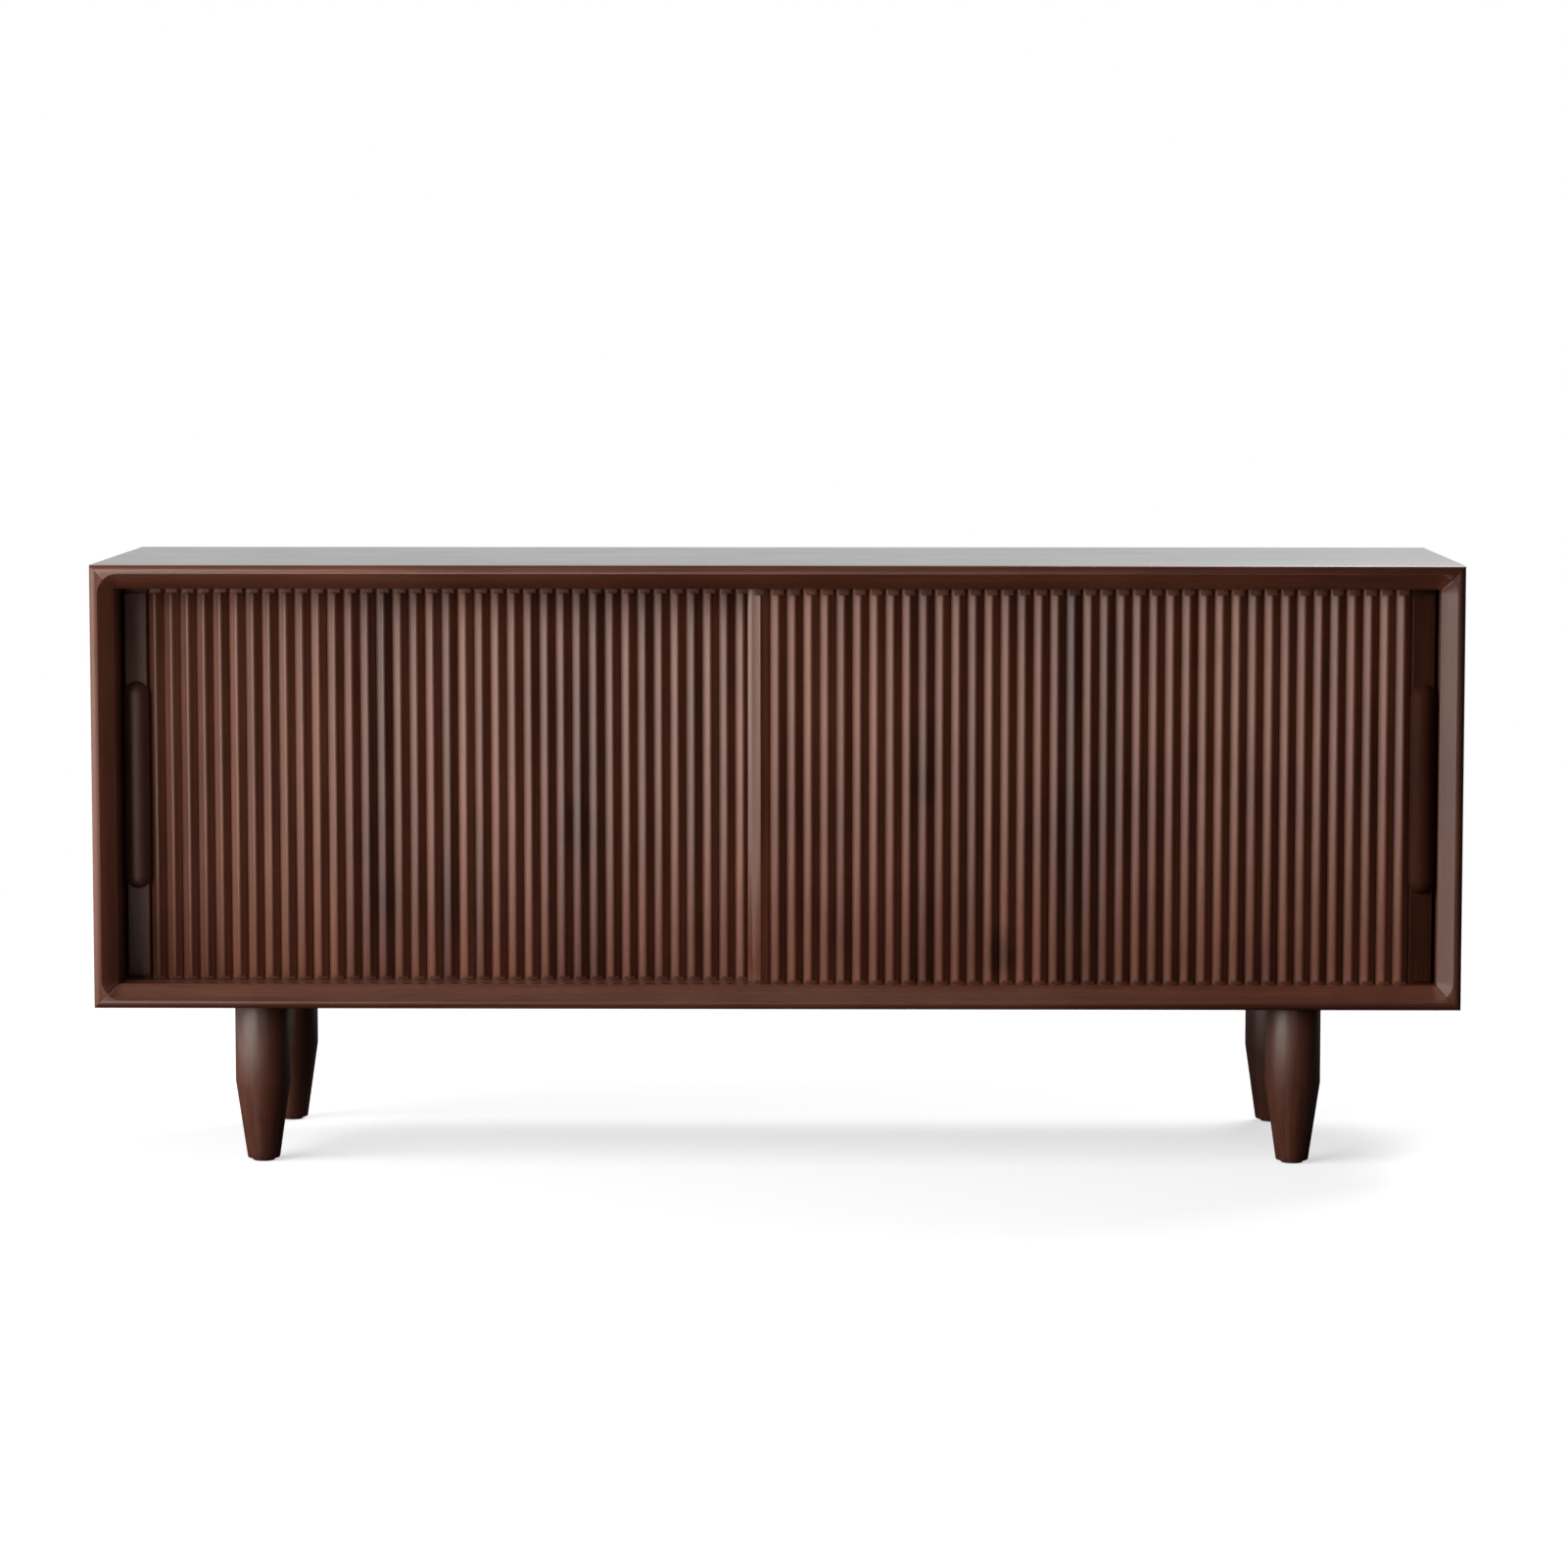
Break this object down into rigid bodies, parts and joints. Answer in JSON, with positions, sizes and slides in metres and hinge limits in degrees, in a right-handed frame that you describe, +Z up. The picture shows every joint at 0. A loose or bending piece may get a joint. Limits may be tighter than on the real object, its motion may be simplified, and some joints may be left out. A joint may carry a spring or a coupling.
{
  "type": "tambour door cabinet",
  "caption": "Long low walnut cabinet on turned legs, with slatted tambour doors that slide past each other in parallel tracks and shelved bays behind them.",
  "frame": {"origin": "on the floor, under the middle of the cabinet's outer box", "axes": "+X along the front to the viewer's right, +Y from the front to the back, +Z up"},
  "size_m": [1.6, 0.45, 0.71],
  "materials": {
    "walnut": "dark satin lacquer",
    "walnut_inside": "thin satin lacquer",
    "back_ply": "matt veneer",
    "canvas": "woven cotton duck",
    "steel": "zinc plated",
    "glide": "moulded nylon"
  },
  "bodies": {
    "case": {"top_panel": "walnut", "bottom_panel": "walnut", "left_side_panel": "walnut", "right_side_panel": "walnut", "mitre_splines": "walnut_inside", "back_panel": "back_ply", "centre_partition": "walnut_inside", "left_shelf": "walnut_inside", "right_shelf": "walnut_inside", "left_outer_batten": "walnut_inside", "left_inner_batten": "walnut_inside", "right_inner_batten": "walnut_inside", "right_outer_batten": "walnut_inside", "leg_front_left": "walnut", "leg_front_right": "walnut", "leg_back_left": "walnut", "leg_back_right": "walnut", "leg_bolts": "steel", "foot_glides": "glide"},
    "left_door": {"left_door_slats": "walnut", "left_door_trailing_stile": "walnut", "left_door_lead_stile": "walnut", "left_door_pull": "walnut", "left_door_cleat": "walnut_inside", "left_door_canvas": "canvas"},
    "right_door": {"right_door_slats": "walnut", "right_door_trailing_stile": "walnut", "right_door_lead_stile": "walnut", "right_door_pull": "walnut", "right_door_cleat": "walnut_inside", "right_door_canvas": "canvas"}
  },
  "joints": [
    {"name": "left_door_slide", "type": "slide", "parent": "case", "child": "left_door", "axis": [1, 0, 0], "range_m": [0, 0.734]},
    {"name": "right_door_slide", "type": "slide", "parent": "case", "child": "right_door", "axis": [-1, 0, 0], "range_m": [0, 0.734]}
  ]
}
